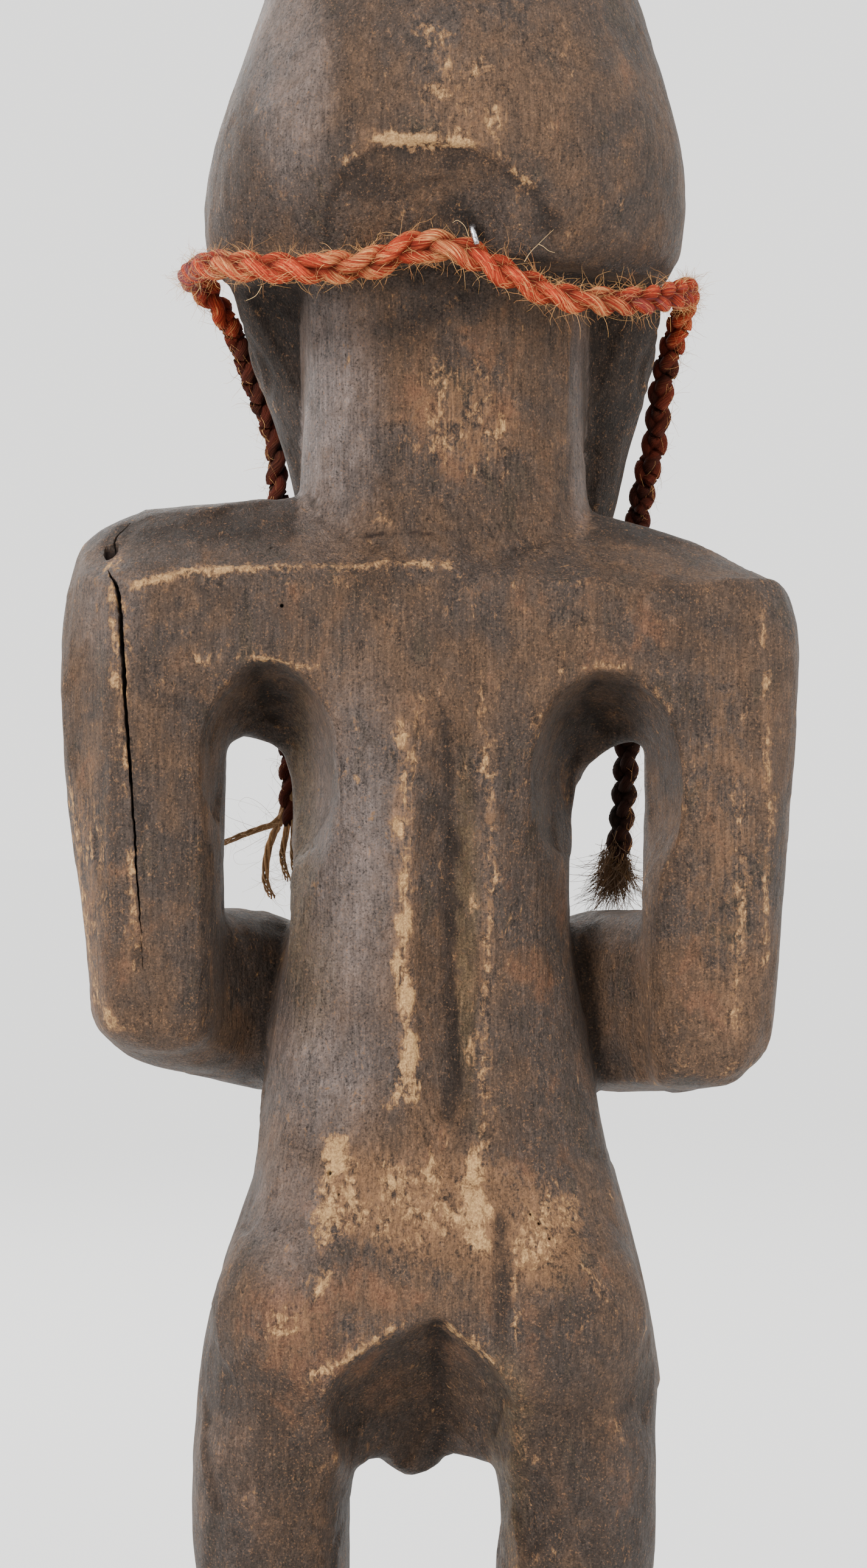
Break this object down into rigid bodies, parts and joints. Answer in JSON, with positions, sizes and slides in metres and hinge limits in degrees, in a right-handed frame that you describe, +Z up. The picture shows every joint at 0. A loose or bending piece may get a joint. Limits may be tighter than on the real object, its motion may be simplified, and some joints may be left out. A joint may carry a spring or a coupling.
{
  "type": "carved standing figure",
  "caption": "Tall egg-headed standing figure carved from one block of dark wood, with a plaited rope nailed to its nape and hanging on both sides of its face.",
  "frame": {"origin": "centre of the base's underside, which is also the middle of the object's outline from above", "axes": "+Z up along the figure, -Y the way the figure faces, +X to the figure's own left"},
  "size_m": [0.1984, 0.158, 0.6118],
  "materials": {
    "wood": "hand-carved hardwood, dark grey-brown patina worn to red-brown and pale tan on the ridges",
    "rope_fibre": "red-dyed plaited plant fibre, faded, dirty and frayed",
    "nail_steel": "plain bent wire nail, worn bright"
  },
  "bodies": {
    "root": {"figure": "wood", "rope": "rope_fibre", "nail": "nail_steel"}
  },
  "joints": []
}
